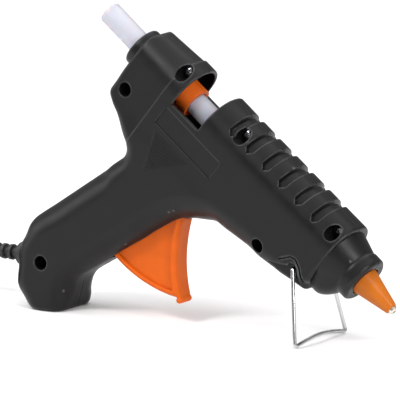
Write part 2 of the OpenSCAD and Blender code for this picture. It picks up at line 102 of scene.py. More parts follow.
area_light("overhead", (-0.2, 0.3, 1.6), (0, 0.2, 0), (2.4, 2.4), 31.0)
area_light("key", (-0.25, -0.6, 0.75), (-0.02, 0, 0.07), (0.3, 0.2), 5.0)
area_light("side", (0.75, -0.25, 0.4), (0.03, 0, 0.07), (0.25, 0.3), 4.5)
area_light("left", (-0.9, -0.3, 0.4), (-0.06, 0, 0.06), (0.5, 0.6), 2.6)
bpy.context.scene.view_settings.view_transform = "Standard"
world = bpy.data.worlds.new("studio")
world.use_nodes = True
world.node_tree.nodes["Background"].inputs["Color"].default_value = (1, 1, 1, 1)
world.node_tree.nodes["Background"].inputs["Strength"].default_value = 0.33
bpy.context.scene.world = world


# ---------------------------------------------------------------- materials
def shader(name, base, rough, metal=0.0, grain=0.35, relief=0.02, blotch=6.0, vary=0.12, edge_wear_and_highlight=0.0,
           rough_vary=0.08, **sockets):
    """Principled material: moulded or worked grain in its bump, colour that varies, and paler edges that are
    partly wear and partly painted highlight.

    grain and blotch are sizes, relief is the grain's depth, and the edge argument gives how far the edges turn
    paler, partly as wear and partly as painted highlight.
    Further arguments set sockets of the shader."""
    m = bpy.data.materials.new(name)
    m.use_nodes = True
    tree = m.node_tree
    bsdf = tree.nodes["Principled BSDF"]
    new, link = tree.nodes.new, tree.links.new
    where = new("ShaderNodeTexCoord")
    fine = new("ShaderNodeTexNoise")
    fine.inputs["Scale"].default_value = 1 / (grain * MM)
    fine.inputs["Detail"].default_value = 3
    broad = new("ShaderNodeTexNoise")
    broad.inputs["Scale"].default_value = 1 / (blotch * MM)
    broad.inputs["Detail"].default_value = 4
    for noise in (fine, broad):
        link(where.outputs["Object"], noise.inputs["Vector"])
    bump = new("ShaderNodeBump")
    bump.inputs["Distance"].default_value = relief * MM
    bump.inputs["Strength"].default_value = 1.0
    link(fine.outputs["Fac"], bump.inputs["Height"])
    link(bump.outputs["Normal"], bsdf.inputs["Normal"])
    tone = new("ShaderNodeValToRGB")
    tone.color_ramp.elements[0].position = 0.3
    tone.color_ramp.elements[1].position = 0.7
    tone.color_ramp.elements[0].color = tuple(c * (1 - vary) for c in base) + (1,)
    tone.color_ramp.elements[1].color = tuple(min(1, c * (1 + vary)) for c in base) + (1,)
    link(broad.outputs["Fac"], tone.inputs["Fac"])
    colour = tone.outputs["Color"]
    # Edges turn paler by pointiness: partly wear, partly a painted highlight on rims and groove edges
    if edge_wear_and_highlight:
        edge = new("ShaderNodeNewGeometry")
        pick = new("ShaderNodeValToRGB")
        pick.color_ramp.elements[0].position = 0.515
        pick.color_ramp.elements[1].position = 0.585
        link(edge.outputs["Pointiness"], pick.inputs["Fac"])
        part = new("ShaderNodeMath")
        part.operation = "MULTIPLY"
        part.inputs[1].default_value = edge_wear_and_highlight
        link(pick.outputs["Color"], part.inputs[0])
        # no pale edge, neither worn nor painted highlight, where the two halves of a moulding meet, at y = 0
        split, from_seam, off_seam = new("ShaderNodeSeparateXYZ"), new("ShaderNodeMath"), new("ShaderNodeMath")
        from_seam.operation, off_seam.operation = "ABSOLUTE", "GREATER_THAN"
        off_seam.inputs[1].default_value = 0.9 * MM
        link(where.outputs["Object"], split.inputs[0])
        link(split.outputs["Y"], from_seam.inputs[0])
        link(from_seam.outputs[0], off_seam.inputs[0])
        masked = new("ShaderNodeMath")
        masked.operation = "MULTIPLY"
        link(part.outputs[0], masked.inputs[0])
        link(off_seam.outputs[0], masked.inputs[1])
        mix = new("ShaderNodeMix")
        mix.data_type = "RGBA"
        mix.inputs[7].default_value = tuple(min(1, c * 1.6 + 0.06) for c in base) + (1,)
        link(masked.outputs[0], mix.inputs[0])
        link(colour, mix.inputs[6])
        colour = mix.outputs[2]
    link(colour, bsdf.inputs["Base Color"])
    gloss = new("ShaderNodeMapRange")
    gloss.inputs["To Min"].default_value = max(0.02, rough - rough_vary)
    gloss.inputs["To Max"].default_value = min(1, rough + rough_vary)
    link(broad.outputs["Fac"], gloss.inputs["Value"])
    link(gloss.outputs["Result"], bsdf.inputs["Roughness"])
    bsdf.inputs["Metallic"].default_value = metal
    for socket, value in sockets.items():
        bsdf.inputs[socket.replace("_", " ")].default_value = value
    return m


def metal(name, base, rough):
    return shader(name, base, rough, metal=1.0, grain=0.2, relief=0.004, blotch=2.5, vary=0.08)


LOOK = {
    # Its pale edges are partly wear and partly a painted highlight on the groove rims and the nose ring
    "moulded_black": shader("moulded_black", (0.0042, 0.0042, 0.0043), 0.4, grain=0.3, relief=0.03,
                            edge_wear_and_highlight=1.0, rough_vary=0.12, Specular_IOR_Level=0.24),
    "orange_plastic": shader("orange_plastic", (0.62, 0.104, 0.0065), 0.4, grain=0.5, relief=0.01, vary=0.05,
                             edge_wear_and_highlight=0.1, Subsurface_Weight=0.05, Subsurface_Scale=0.0015,
                             Specular_IOR_Level=0.12),
    "orange_silicone": shader("orange_silicone", (0.44, 0.112, 0.005), 0.4, grain=0.6, relief=0.012, vary=0.06,
                              Specular_IOR_Level=0.22, Subsurface_Weight=0.1, Subsurface_Scale=0.002),
    "clear_glue": shader("clear_glue", (0.60, 0.61, 0.68), 0.2, grain=2.5, relief=0.05, blotch=9, vary=0.05,
                         Subsurface_Weight=0.6, Subsurface_Scale=0.004,
                         Transmission_Weight=0.35, IOR=1.46),
    # Screw colour made darker than zinc as a painted shade of the deep recesses, so that mostly glints show
    "zinc_screw": metal("zinc_screw", (0.3, 0.31, 0.33), 0.2),
    "plated_wire": metal("plated_wire", (0.56, 0.56, 0.57), 0.18),
    "steel": metal("steel", (0.6, 0.6, 0.61), 0.25),
    "spring_steel": metal("spring_steel", (0.42, 0.42, 0.43), 0.3),
    "nozzle_metal": metal("nozzle_metal", (0.66, 0.62, 0.55), 0.26),
    "cast_aluminium": shader("cast_aluminium", (0.55, 0.55, 0.56), 0.45, metal=1.0, grain=0.8, relief=0.05),
    "heater_ceramic": shader("heater_ceramic", (0.12, 0.11, 0.1), 0.7, grain=0.3, relief=0.03),
    "brass": metal("brass", (0.78, 0.57, 0.26), 0.3),
    "insulating_board": shader("insulating_board", (0.72, 0.66, 0.5), 0.8, grain=0.4, relief=0.05),
    "red_silicone": shader("red_silicone", (0.6, 0.05, 0.025), 0.45, relief=0.01, Subsurface_Weight=0.25,
                           Subsurface_Scale=0.002),
    "grey_plastic": shader("grey_plastic", (0.3, 0.3, 0.31), 0.5, relief=0.015),
    "wire_sleeve": shader("wire_sleeve", (0.82, 0.82, 0.78), 0.6, grain=0.25, relief=0.03),
    "cord_rubber": shader("cord_rubber", (0.016, 0.016, 0.017), 0.48, grain=0.4, relief=0.02,
                          Specular_IOR_Level=0.45),
    "black_plastic": shader("black_plastic", (0.014, 0.014, 0.015), 0.42, relief=0.015, edge_wear_and_highlight=0.4,
                            Specular_IOR_Level=0.45),
    "nickel": metal("nickel", (0.74, 0.72, 0.68), 0.2),
}
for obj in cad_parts.values():
    for slot in obj.material_slots:
        slot.material = LOOK[slot.material.name.split(".")[0]]


def finish_piece(obj, slot, body, *nodes):
    """The piece takes its slot's material, moves with its body and stands for its CAD nodes."""
    obj.data.materials.clear()
    obj.data.materials.append(LOOK[slot])
    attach(obj, body)
    if nodes:
        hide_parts(*nodes)
    return obj


def link_object(name, data):
    obj = bpy.data.objects.new(name, data)
    bpy.context.scene.collection.objects.link(obj)
    return obj


# ---------------------------------------------------------------- free cord
CORD_R = 2.6
EXIT = (-136.4, 0, 23.5)
HANK_FRONT_X, HANK_IN_R, HANK_OUT_R = -166.0, 16.2, 24.45
LAYER_Z = (13.1, 7.85, 2.6)
TAIL_LEN, PLUG_Y, PLUG_Z = 54, 8.5, 6.8
LEAD_X = -144


def ease(u):
    """From 0 to 1 as u does, level at both ends."""
    u = np.clip(u, 0, 1)
    return u * u * (3 - 2 * u)


def hank(run):
    """Three layers of a long loop, five turns in all, from the inside of the top to the outside of the bottom."""
    back = HANK_FRONT_X - run
    arc = math.pi * (HANK_IN_R + HANK_OUT_R) / 2
    starts = (0, arc, arc + run, 2 * arc + run)
    points = []
    for turn in range(5):
        for part in range(4):
            steps = 5 if part % 2 else 14
            for k in range(steps):
                u = k / steps
                done = turn + (starts[part] + u * (run if part % 2 else arc)) / (2 * (run + arc))
                r = np.interp(done, [0, 1.5, 1.75, 3.25, 3.5, 5],
                              [HANK_IN_R, HANK_OUT_R, HANK_OUT_R, HANK_IN_R, HANK_IN_R, HANK_OUT_R])
                z = (LAYER_Z[0] + (LAYER_Z[1] - LAYER_Z[0]) * ease((done - 1.5) * 4)
                     + (LAYER_Z[2] - LAYER_Z[1]) * ease((done - 3.25) * 4))
                turn_x, turn_y = r * math.cos(math.pi * (0.5 + u)), r * math.sin(math.pi * (0.5 + u))
                points.append([(back + turn_x, turn_y, z), (back + u * run, -r, z),
                               (HANK_FRONT_X - turn_x, -turn_y, z), (HANK_FRONT_X - u * run, r, z)][part])
    return np.array(points)


def cord_route(run):
    """Out of the strain relief, down on to the hank, round it, and on to the plug."""
    back = HANK_FRONT_X - run
    u = np.arange(10) / 10
    lead = np.stack([LEAD_X + (back - LEAD_X) * u, HANK_IN_R * ease(u),
                     EXIT[2] - (EXIT[2] - LAYER_Z[0]) * ease(u)], 1)
    u = np.arange(11) / 10
    tail = np.stack([back - (TAIL_LEN - 4) * u, HANK_OUT_R - (HANK_OUT_R - PLUG_Y) * ease(u),
                     CORD_R + (PLUG_Z - CORD_R) * ease((u - 0.35) / 0.65)], 1)
    end = [(back - TAIL_LEN + 2, PLUG_Y, PLUG_Z), (back - TAIL_LEN, PLUG_Y, PLUG_Z)]
    return smooth_path(np.vstack([[EXIT, (-140, 0, EXIT[2])], lead, hank(run), tail, end]), 4)


def smooth_path(points, n):
    """Catmull-Rom through the points, n steps for each span."""
    p = np.asarray(points, float)
    p = np.vstack([2 * p[0] - p[1], p, 2 * p[-1] - p[-2]])
    u = (np.arange(n) / n)[:, None]
    spans = [0.5 * (2 * b + (c - a) * u + (2 * a - 5 * b + 4 * c - d) * u ** 2
                    + (3 * b - a - 3 * c + d) * u ** 3)
             for a, b, c, d in zip(p, p[1:], p[2:], p[3:])]
    return np.vstack(spans + [p[-2:-1]])


def path_length(p):
    return float(np.linalg.norm(np.diff(p, axis=0), axis=1).sum())


def wire(name, points, radius, sides=6):
    """A round wire or cord along the points."""
    curve = bpy.data.curves.new(name, "CURVE")
    curve.dimensions = "3D"
    curve.bevel_depth = radius * MM
    curve.bevel_resolution = sides
    curve.use_fill_caps = True
    spline = curve.splines.new("POLY")
    spline.points.add(len(points) - 1)
    spline.points.foreach_set("co", np.column_stack([np.asarray(points) * MM, np.ones(len(points))]).ravel())
    spline.use_smooth = True
    return link_object(name, curve)


# The hank's straight run is found that brings the whole cord to its length, in metres
CORD_LENGTH = 1.2
run_low, run_high = 30.0, 60.0
for _ in range(30):
    hank_run = (run_low + run_high) / 2
    if path_length(cord_route(hank_run)) * MM < CORD_LENGTH:
        run_low = hank_run
    else:
        run_high = hank_run
route = cord_route(hank_run)
cord = finish_piece(wire("mains_cord", route, CORD_R), "cord_rubber", "housing",
                    "power_cord", "cord_coil", "cord_tail")


# ---------------------------------------------------------------- mesh tools
def solid(name, points, faces, smooth_angle=50):
    """Mesh object of quads or triangles (all of one kind), points in metres."""
    mesh = bpy.data.meshes.new(name)
    count, corners = faces.shape
    mesh.vertices.add(len(points))
    mesh.vertices.foreach_set("co", np.ascontiguousarray(points, np.float32).ravel())
    mesh.loops.add(count * corners)
    mesh.loops.foreach_set("vertex_index", np.ascontiguousarray(faces, np.int32).ravel())
    mesh.polygons.add(count)
    mesh.polygons.foreach_set("loop_start", np.arange(0, count * corners, corners, dtype=np.int32))
    mesh.update(calc_edges=True)
    mesh.validate()
    mesh.shade_smooth()
    if smooth_angle:
        mesh.set_sharp_from_angle(angle=math.radians(smooth_angle))
    return link_object(name, mesh)


def lathe(name, profile, place, segments=96):
    """Closed profile of (distance along, radius), turned; place maps (n, 3) points (along, y, up) to metres.

    A profile that starts and ends on the axis gets a fan at each end."""
    p = np.asarray(profile, float)
    turn = np.linspace(0, 2 * math.pi, segments, endpoint=False)
    along = np.repeat(p[:, 0], segments)
    radius = np.repeat(p[:, 1], segments)
    angle = np.tile(turn, len(p))
    points = np.stack([along, radius * np.cos(angle), radius * np.sin(angle)], 1)
    i, j = np.meshgrid(np.arange(len(p)), np.arange(segments), indexing="ij")
    nxt_i, nxt_j = (i + 1) % len(p), (j + 1) % segments
    faces = np.stack([i * segments + j, i * segments + nxt_j, nxt_i * segments + nxt_j,
                      nxt_i * segments + j], -1)
    on_axis = p[0, 1] == 0
    if on_axis:
        faces = faces[:-1]
    obj = solid(name, place(points), faces.reshape(-1, 4))
    if on_axis:
        whole = bmesh.new()
        whole.from_mesh(obj.data)
        bmesh.ops.remove_doubles(whole, verts=whole.verts, dist=1e-7)
        whole.to_mesh(obj.data)
        whole.free()
    return obj


def smin(a, b, k):
    """Smaller of two distance fields, with the corner between them rounded over k."""
    h = np.clip(0.5 + 0.5 * (b - a) / k, 0, 1)
    return b + (a - b) * h - k * h * (1 - h)


def smax(a, b, k):
    return -smin(-a, -b, k)


def most(*fields):
    out = fields[0]
    for f in fields[1:]:
        out = np.maximum(out, f)
    return out


def least(*fields):
    out = fields[0]
    for f in fields[1:]:
        out = np.minimum(out, f)
    return out


def contour(name, field, low, high, cell, place, smooth_angle=48):
    """The surface where field is zero, by dual contouring on a grid of that cell size."""
    low = np.array(low, float)
    axes = [low[k] + cell * np.arange(int(math.ceil((high[k] - low[k]) / cell)) + 1) for k in range(3)]
    grid = field(axes[0][:, None, None], axes[1][None, :, None], axes[2][None, None, :]).astype(np.float32)
    shape = np.array(grid.shape)
    inside = grid < 0
    points, owners, flips = [], [], []
    for k in range(3):
        near, far = [slice(None)] * 3, [slice(None)] * 3
        near[k], far[k] = slice(0, -1), slice(1, None)
        a, b = (k + 1) % 3, (k + 2) % 3
        edge = np.argwhere(inside[tuple(near)] != inside[tuple(far)])
        within = [(edge[:, m] > 0) & (edge[:, m] < shape[m] - 1) for m in (a, b)]
        edge = edge[within[0] & within[1]]
        other = edge.copy()
        other[:, k] += 1
        v0 = grid[tuple(edge.T)].astype(float)
        v1 = grid[tuple(other.T)].astype(float)
        u0, u1 = np.zeros(len(edge)), np.ones(len(edge))
        base = low + cell * edge
        step = np.zeros(3)
        step[k] = cell
        for _ in range(3):
            u = np.clip(u0 + (u1 - u0) * v0 / (v0 - v1), u0 + 0.02 * (u1 - u0), u1 - 0.02 * (u1 - u0))
            p = base + u[:, None] * step
            v = field(p[:, 0], p[:, 1], p[:, 2])
            same = (v < 0) == (v0 < 0)
            u0, v0 = np.where(same, u, u0), np.where(same, v, v0)
            u1, v1 = np.where(same, u1, u), np.where(same, v1, v)
        u = u0 + (u1 - u0) * v0 / np.where(v0 == v1, 1, v0 - v1)
        points.append(base + u[:, None] * step)
        cells = []
        for da, db in ((-1, -1), (0, -1), (0, 0), (-1, 0)):
            c = edge.copy()
            c[:, a] += da
            c[:, b] += db
            cells.append((c[:, 0] * shape[1] + c[:, 1]) * shape[2] + c[:, 2])
        owners.append(np.stack(cells, 1))
        flips.append(~inside[tuple(edge.T)])
    points, owners, flips = np.vstack(points), np.vstack(owners), np.concatenate(flips)
    h = 0.04 * cell
    normal = np.zeros_like(points)
    for sign in ((1, -1, -1), (-1, -1, 1), (-1, 1, -1), (1, 1, 1)):
        sign = np.array(sign, float)
        q = points + h * sign
        normal += sign * field(q[:, 0], q[:, 1], q[:, 2])[:, None]
    normal /= np.linalg.norm(normal, axis=1, keepdims=True) + 1e-12
    ids, vertex = np.unique(owners.ravel(), return_inverse=True)
    p4, n4 = np.repeat(points, 4, 0), np.repeat(normal, 4, 0)

    def gather(w):
        return np.bincount(vertex, w, len(ids))

    count = gather(np.ones(len(vertex)))
    mass = np.stack([gather(p4[:, k]) for k in range(3)], 1) / count[:, None]
    dist = np.einsum("ij,ij->i", n4, p4 - mass[vertex])
    matrix = np.zeros((len(ids), 3, 3))
    rhs = np.zeros((len(ids), 3))
    for r in range(3):
        rhs[:, r] = gather(n4[:, r] * dist)
        for c in range(r, 3):
            matrix[:, r, c] = matrix[:, c, r] = gather(n4[:, r] * n4[:, c])
    matrix += np.eye(3) * (0.03 * count)[:, None, None]
    shift = np.linalg.solve(matrix, rhs[..., None])[..., 0]
    corner = np.stack([ids // (shape[1] * shape[2]), ids // shape[2] % shape[1], ids % shape[2]], 1)
    cell_low = low + cell * corner
    vertices = np.clip(mass + shift, cell_low, cell_low + cell)
    quads = vertex.reshape(-1, 4)
    quads[flips] = quads[flips][:, ::-1]
    return solid(name, place(vertices), quads, smooth_angle)


def line_distance(line, x, z):
    """Distance to a line of straight parts."""
    best = np.full(np.broadcast(x, z).shape, 1e9)
    for (x0, z0), (x1, z1) in zip(line, line[1:]):
        dx, dz = x1 - x0, z1 - z0
        u = np.clip(((x - x0) * dx + (z - z0) * dz) / (dx * dx + dz * dz), 0, 1)
        best = np.minimum(best, (x - x0 - u * dx) ** 2 + (z - z0 - u * dz) ** 2)
    return np.sqrt(best)


def polygon_distance(poly, x, z):
    """Signed distance, negative inside, to a closed polygon."""
    ring = list(poly) + [poly[0]]
    best = line_distance(ring, x, z)
    odd = np.zeros(best.shape, bool)
    for (x0, z0), (x1, z1) in zip(ring, ring[1:]):
        if z1 != z0:
            odd ^= ((z0 > z) != (z1 > z)) & (x < x0 + (z - z0) * (x1 - x0) / (z1 - z0))
    return np.where(odd, -1, 1) * best


def rounded_slab(shape, across, half, edge):
    """The part of a prism with that outline distance that lies within half of its middle, its edges rounded."""
    u, w = np.maximum(shape + edge, 0), np.maximum(across - half + edge, 0)
    return np.hypot(u, w) - edge + np.minimum(np.maximum(shape + edge, across - half + edge), 0)


def rounded(points):
    """Closed polygon of (x, z, radius) corners with the corners rounded."""
    out = []
    n = len(points)
    for i in range(n):
        a, b, c = (np.array(points[k % n][:2], float) for k in (i - 1, i, i + 1))
        r = points[i][2]
        p, q = (a - b) / np.linalg.norm(a - b), (c - b) / np.linalg.norm(c - b)
        half = math.acos(float(np.clip(p @ q, -1, 1))) / 2
        reach = r / math.tan(half)
        centre = b + (p + q) / np.linalg.norm(p + q) * r / math.sin(half)
        start, stop = b + p * reach - centre, b + q * reach - centre
        sweep = math.pi - 2 * half
        steps = max(2, int(math.ceil(sweep / math.radians(6))))
        way = math.copysign(1, start[0] * stop[1] - start[1] * stop[0])
        for k in range(steps + 1):
            turn = way * sweep * k / steps
            ct, st = math.cos(turn), math.sin(turn)
            out.append((float(centre[0] + ct * start[0] - st * start[1]),
                        float(centre[1] + st * start[0] + ct * start[1])))
    return out


def turned(s, r, profile):
    """Space inside a turned profile of (s, radius) points."""
    ps, pr = zip(*profile)
    return most(r - np.interp(s, ps, pr), ps[0] - s, s - ps[-1])


# ---------------------------------------------------------------- housing
OUTLINE = rounded([
    at(3.8, 14.6) + (4,), at(27.5, 16.9) + (1,), at(29, 17.8) + (1,), at(144.4, 18) + (1.6,),
    at(144.4, -21.6) + (1.5,), at(128, -26) + (20,), at(100, -31.4) + (30,), (7.4, 52.4, 14), (-11.7, 52.4, 25),
    (-73, 16.6, 12), (-79.6, -9, 3), (-91, -9, 3), (-105.2, 10, 9), (-105.2, 28, 20), (-99.4, 42.8, 14),
    (-40.3, 82.6, 9), at(3.8, -23.4) + (4.5,)])
# Reach in mm of the rounding between the side and the edge, at points around the outline
EDGE = [at(4, 14) + (3,), at(28, 18) + (4,), at(60, 18) + (4,), at(100, 18) + (4,), at(143, 18) + (1.2,),
        at(144.4, 0) + (1.0,), at(144.4, -10) + (1.5,), at(144.4, -21.6) + (8,), at(134, -23.5) + (9,),
        at(122, -26) + (10,), at(100, -31) + (12,), (20, 47, 14), (0, 52.6, 15), (-20, 48, 14),
        (-40, 36, 12.5), (-60, 24, 11.5), (-75, 13, 9.5),
        (-80, 1, 7), (-87, 1, 7), (-104, 10, 8), (-105, 25, 9.5), (-98, 41, 12), (-80, 54, 13), (-60, 67, 13),
        (-46, 77, 10), at(16, -37) + (6,), at(4, -22) + (3,), at(3.8, -5) + (2,)]
TABLE_LOW, TABLE_CELL = (-4.0, -142.0), 0.5
table_s = TABLE_LOW[0] + TABLE_CELL * np.arange(342)[:, None]
table_t = TABLE_LOW[1] + TABLE_CELL * np.arange(330)[None, :]
table_x, table_z = row(table_s, table_t)
inset_table = polygon_distance(OUTLINE, table_x, table_z)
# Away from the edge the inset is smoothed, so that no crease follows the corners inwards
soft_inset = inset_table
for axis in (0, 1, 0, 1):
    soft_inset = sum(np.roll(soft_inset, k, axis) for k in range(-7, 8)) / 15
inset_table = inset_table + (soft_inset - inset_table) * ease((-inset_table - 1) / 8)
weights = [1 / ((table_x - ex) ** 2 + (table_z - ez) ** 2 + 16) ** 2 for ex, ez, _ in EDGE]
edge_table = sum(w * e[2] for w, e in zip(weights, EDGE)) / sum(weights)


def lookup(table, s, t):
    """Cubic interpolation of a table over (s, t)."""
    u = np.clip((s - TABLE_LOW[0]) / TABLE_CELL, 1, table.shape[0] - 3.001)
    v = np.clip((t - TABLE_LOW[1]) / TABLE_CELL, 1, table.shape[1] - 3.001)
    i, j = u.astype(int), v.astype(int)
    fu, fv = u - i, v - j

    def taps(f):
        return (((-0.5 * f + 1) * f - 0.5) * f, (1.5 * f - 2.5) * f * f + 1,
                ((-1.5 * f + 2) * f + 0.5) * f, (0.5 * f - 0.5) * f * f)

    wu, wv = taps(fu), taps(fv)
    return sum(wu[a] * wv[b] * table[i + a - 1, j + b - 1] for a in range(4) for b in range(4))


def crown_radius(s):
    return np.interp(s, [4, 27.6, 28.1, 80, 148], [13.7, 15.55, 16.3, 16.3, 17])


def moulded(s, y, t, z, inset, edge):
    """Body of the housing: outline, rounded sides, crown of the barrel, flat butt."""
    ay = np.abs(y)
    rear = np.interp(s, [4, 27.6, 28.1], [13.75, 15.5, HALF_W])
    half = HALF_W - (HALF_W - rear) * ease((t + 46) / 20)
    side = np.minimum(half, 1.12 * edge)
    u = np.maximum(inset + edge, 0) / edge
    w = np.maximum(ay - half + side, 0) / side
    q = np.sqrt(u * u + w * w) + 1e-9
    slope = np.sqrt((u / edge) ** 2 + (w / side) ** 2) / q + 1e-9
    flat = q < 1e-6
    field = np.where(flat, -np.minimum(edge, side), (q - 1) / np.where(flat, 1, slope))
    field = field + np.minimum(np.maximum(inset + edge, ay - half + side), 0)
    rho = np.sqrt(np.maximum(t - CROWN_T, 0) ** 2 + y * y)
    field = smax(field, rho - crown_radius(s) - 4 * ease((-t - 20) / 30), 1.2)
    return smax(field, -z, 2.6)


def nose(s, y, t):
    """Cone in front of the barrel with the rounded lobe under it, and the ring at its mouth."""
    share = np.clip((s - 146) / 11, 0, 1)
    r1 = np.interp(s, [144, 157], [15.5, 11.7])
    r2 = 10.7 + 1.0 * share
    drop = 11.4 * (1 - share ** 1.9)
    lean = np.clip((r1 - r2) / np.maximum(drop, 0.01), -0.999, 0.999)
    rise = np.sqrt(1 - lean * lean)
    ay, down = np.abs(y), -t
    k = rise * down - lean * ay
    section = np.where(k < 0, np.hypot(ay, down) - r1,
                       np.where(k > rise * drop, np.hypot(ay, down - drop) - r2, ay * rise + down * lean - r1))
    cone = smax(most(section, 143 - s), s - 157.2, 0.6)
    r = np.hypot(y, t)
    ring = smax(r - 12.6, np.abs(s - 159.2) - 3.2, 1.0)
    ring = smax(ring, (s - 162.4 + r - 11.4) * 0.7071, 0.6)
    return smin(cone, ring, 1.3)


def collar(s, y, t):
    """Ring at the rear rim that the stick goes in through."""
    return smax(np.hypot(y, t) - 10.3, np.abs(s - 4) - 5, 1.6)


def outside(s, y, t, z, inset, edge):
    """Both shells together, before anything is cut from them."""
    body = smin(moulded(s, y, t, z, inset, edge), collar(s, y, t), 0.8)
    return least(body, nose(s, y, t))


def sector(s, t, grow, reach):
    """Area under and behind the stand's pin that its legs swing through."""
    ps, pt = STAND_ST
    area = [(0.67 * grow, 0.75 * grow), (0.67 * grow + 0.75 * reach, 0.75 * grow - 0.67 * reach),
            (-0.8 * reach, -0.9 * reach), (-0.8 * reach, -0.5 * reach), (-0.6 * grow, 0.8 * grow)]
    return np.minimum(np.hypot(s - ps, t - pt) - grow - 1,
                      polygon_distance([(ps + a, pt + b) for a, b in area], s, t))


STAND_RIBS = [[(49.3, 41.2), (55.6, 42.9), (58.4, 41.9), (60.4, 38.2), (61.9, 31.5)],
              [(52.2, 36.4), (55.4, 39.6), (57.6, 39.2), (58.9, 36.8), (59.4, 30)]]
GROOVE_S, GROOVE_PITCH, GROOVE_N, GROOVE_DEPTH = 68.4, 11.8, 6, 2.0
RECESS_R, SEAT_Y, SCREW_R, PIVOT_R = 3.55, -5.5, 1.4, 1.52
WINDOW_S, WINDOW_END = 35.5, 54
PANEL_S, PANEL_T, PANEL_HALF = 53.6, -9.55, (19.4, 5.05)


def housing(side):
    """Field of one shell: -1 for the near half, 1 for the far one."""
    def field(s, y, t):
        x, z = row(s, t)
        inset, edge = lookup(inset_table, s, t), lookup(edge_table, s, t)
        skin = outside(s, y, t, z, inset, edge)
        ay, r = np.abs(y), np.hypot(y, t)
        near_stand = least(*(line_distance(line, x, z) for line in STAND_RIBS))
        skin = smax(skin, -most(near_stand - 0.45, -0.9 - skin, 8 - ay), 0.2)
        # room inside, with the bores for carriage, stick, heated chamber and nozzle
        cavity = least(most(inset + 4, ay - 9), most(inset + 8, ay - 13.2))
        cavity = most(cavity, t - 6, 2.4 - z, skin + 1.9)
        cavity = least(cavity, turned(s, r, [(10, 8.8), (24, 12.6), (60, 12.6)]),
                       turned(s, r, [(-3, 7.4), (-1, 6.4), (30, 6.4)]),
                       turned(s, r, [(58, 12.4), (147.8, 12.4), (152.6, 10.2), (160, 10.2)]),
                       turned(s, r, [(150, 8), (165, 8)]),
                       most(turned(s, np.hypot(y, t - 1.2), [(26, 12.6), (30, 14.5), (36, 14.7)]), -1.2 - t))
        solid_part = smax(skin, -cavity, 0.35)
        # bosses for the screws, the two pivots and the stand
        bosses = 1e3
        for ps, pt in SCREWS:
            px, pz = row(ps, pt)
            d = np.hypot(x - px, z - pz)
            bosses = least(bosses, most(d - 3, ay - 13.4), most(d - 5, y + 4.2))
        for px, pz in (TRIGGER_PIN, LEVER_PIN):
            bosses = least(bosses, most(np.hypot(x - px, z - pz) - 3.6, 8.8 - ay, ay - 13.6))
        bosses = least(bosses, most(sector(s, t, 3.4, 12), 10.9 - ay, ay - 15.5))
        out = least(solid_part, most(bosses, skin))
        # window, with the sill and the tunnel's rim rounded
        window = most(WINDOW_S - s, s - WINDOW_END, -1.2 - t)
        out = smax(out, -window, 0.9)
        out = most(out, -most(WINDOW_S - s, s - WINDOW_END, ay - 12.6, -8 - t, t - 12))
        # grooves across the crown, their rear walls bevelled and their ends pointed
        index = np.clip(np.round((s - GROOVE_S) / GROOVE_PITCH), 0, GROOVE_N - 1)
        ds = s - GROOVE_S - GROOVE_PITCH * index
        rho = np.hypot(y, t - CROWN_T)
        floor = crown_radius(s) - GROOVE_DEPTH
        arc = 16.3 * np.arctan2(ay, t - CROWN_T)
        groove = most(-ds - 1.7 - 0.55 * (rho - floor), ds - 2.3, (np.abs(ds) + arc - 17.4) * 0.7071,
                      floor - rho, CROWN_T - t)
        out = smax(out, -groove, 0.18)
        # panel sunk in the side
        panel = most(np.abs(s - PANEL_S) - PANEL_HALF[0], np.abs(t - PANEL_T) - PANEL_HALF[1], 15.45 - ay)
        out = smax(out, -panel, 0.4)
        # trigger slot, open downwards, its front wall following the trigger
        slot = most(ay - 6.6, np.hypot(x - TRIGGER_PIN[0], z - TRIGGER_PIN[1]) - 68,
                    x - np.interp(z, [0, 54, 66], [-12.2, -11.4, -9]), z - 66, -80 + 0.4545 * z - x)
        out = smax(out, -slot, 0.4)
        # strain relief, its flange, the stand's holes and pockets
        rr = np.hypot(y, z - RELIEF_Z)
        out = most(out, -most(rr - 4.4, x + 92.4), -most(rr - 6.3, -100.85 - x, x + 94.85))
        out = most(out, -(np.hypot(x - STAND_PIN[0], z - STAND_PIN[1]) - 1.03),
                   -most(sector(s, t, 1.5, 26), 13.6 - ay))
        # screw recesses and bores
        for ps, pt in SCREWS:
            px, pz = row(ps, pt)
            d = np.hypot(x - px, z - pz)
            out = smax(out, -most(d - RECESS_R, y - SEAT_Y), 0.25)
            out = most(out, -most(d - SCREW_R - 0.05, SEAT_Y - 1 - y, y - 9))
        for px, pz in (TRIGGER_PIN, LEVER_PIN):
            out = most(out, -most(np.hypot(x - px, z - pz) - PIVOT_R, ay - 12))
        return smax(out, -side * y + 0.015, 0.3)
    return field


CELL = 0.5
# Ends of the grid are chosen so that the flat sides at y = 16 don't lie on its planes
near_y = (-17.63, 0.88)
for name, side, node in (("housing_near", -1, "left_shell"), ("housing_far", 1, "right_shell")):
    span = near_y if side < 0 else (-near_y[1], -near_y[0])
    half = contour(name, housing(side), (-2.6, span[0], -139.5), (164.2, span[1], 20.6), CELL, barrel_to_row)
    finish_piece(half, "moulded_black", "housing", node)


def side_surface(s, t):
    """Half width of the housing's outer surface at (s, t)."""
    z = row(s, t)[1]
    inset, edge = lookup(inset_table, s, t), lookup(edge_table, s, t)
    low, high = np.full(s.shape, 5.0), np.full(s.shape, 17.5)
    for _ in range(22):
        mid = (low + high) / 2
        inner = outside(s, mid, t, z, inset, edge) < 0
        low, high = np.where(inner, mid, low), np.where(inner, high, mid)
    return low


def screw_field(x, y, z):
    """Pan-head screw with crossed slots."""
    r = np.hypot(x, z)
    head = smax(np.sqrt(r * r + (1.6 * (y - SEAT_Y)) ** 2) - 2.35, y - SEAT_Y, 0.15)
    ax, az = np.abs(x), np.abs(z)
    cross = least(most(ax - 0.36, az - 1.5), most(az - 0.36, ax - 1.5))
    return least(smax(head, -most(cross, y + 6.1), 0.1), most(r - SCREW_R, -5.8 - y, y - 7.5))


